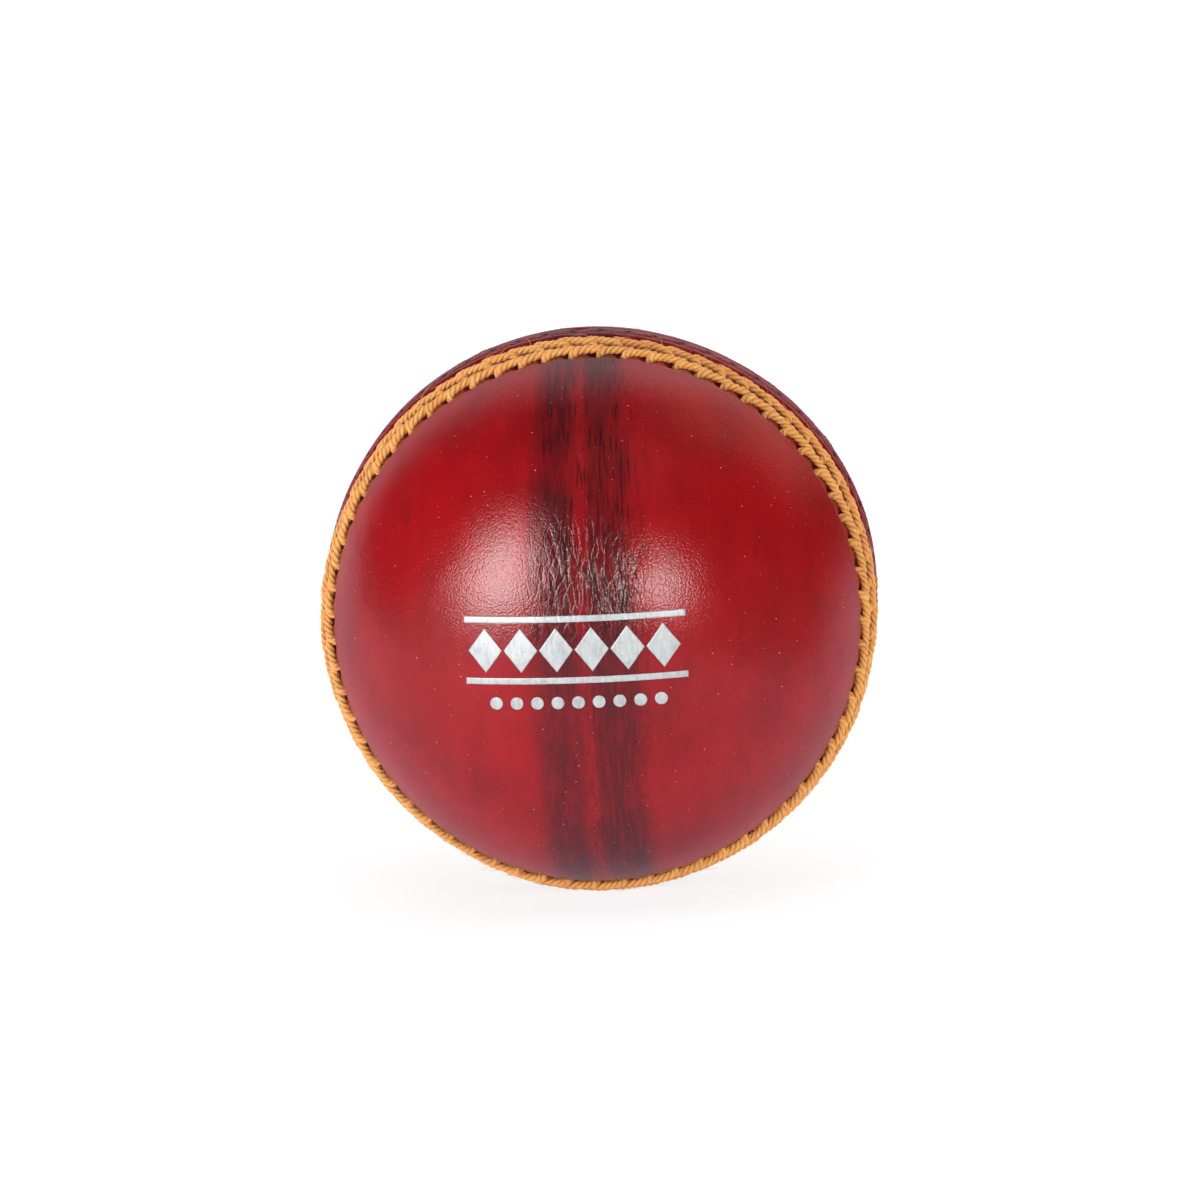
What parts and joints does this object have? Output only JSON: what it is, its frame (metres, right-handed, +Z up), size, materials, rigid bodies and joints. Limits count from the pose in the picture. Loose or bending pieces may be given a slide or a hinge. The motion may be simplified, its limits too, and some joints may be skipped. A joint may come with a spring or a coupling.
{
  "type": "cricket ball",
  "caption": "Hand-stitched red leather ball: layered cork and yarn core, cover of four leather quarters, raised stitched seam round the joint, plain foil mark.",
  "frame": {"origin": "centre of the ball", "axes": "+Y is the pole axis, square to the plane of the seam, and points at the back cup; +Z is up, along the front cup's quarter seam; the front cup faces -Y"},
  "size_m": [0.0722, 0.0709, 0.0722],
  "materials": {
    "nugget": "moulded cork and rubber, matte",
    "cork": "cut cork, open grained",
    "yarn": "worsted wool yarn, wound tight",
    "lining": "undyed skived leather",
    "red_leather": "aniline-dyed, greased and polished, fine grain",
    "closing_thread": "waxed linen thread",
    "tan_thread": "waxed twisted linen thread, tan",
    "dyed_thread": "waxed twisted linen thread, stained by the dye",
    "silver_foil": "hot-pressed silver foil, slightly worn"
  },
  "bodies": {
    "root": {"core_nugget": "nugget", "cork_layer_1": "cork", "cork_layer_2": "cork", "cork_layer_3": "cork", "cork_layer_4": "cork", "cork_layer_5": "cork", "yarn_winding_1": "yarn", "yarn_winding_2": "yarn", "yarn_winding_3": "yarn", "yarn_winding_4": "yarn", "yarn_winding_5": "yarn", "front_lining_patches": "lining", "back_lining_patches": "lining", "front_left_quarter": "red_leather", "front_right_quarter": "red_leather", "back_upper_quarter": "red_leather", "back_lower_quarter": "red_leather", "front_closing_thread": "closing_thread", "back_closing_thread": "closing_thread", "front_outer_stitch_row": "tan_thread", "front_inner_stitch_row": "tan_thread", "front_lip_stitch_row": "dyed_thread", "back_lip_stitch_row": "dyed_thread", "back_inner_stitch_row": "tan_thread", "back_outer_stitch_row": "tan_thread", "foil_mark": "silver_foil"}
  },
  "joints": []
}
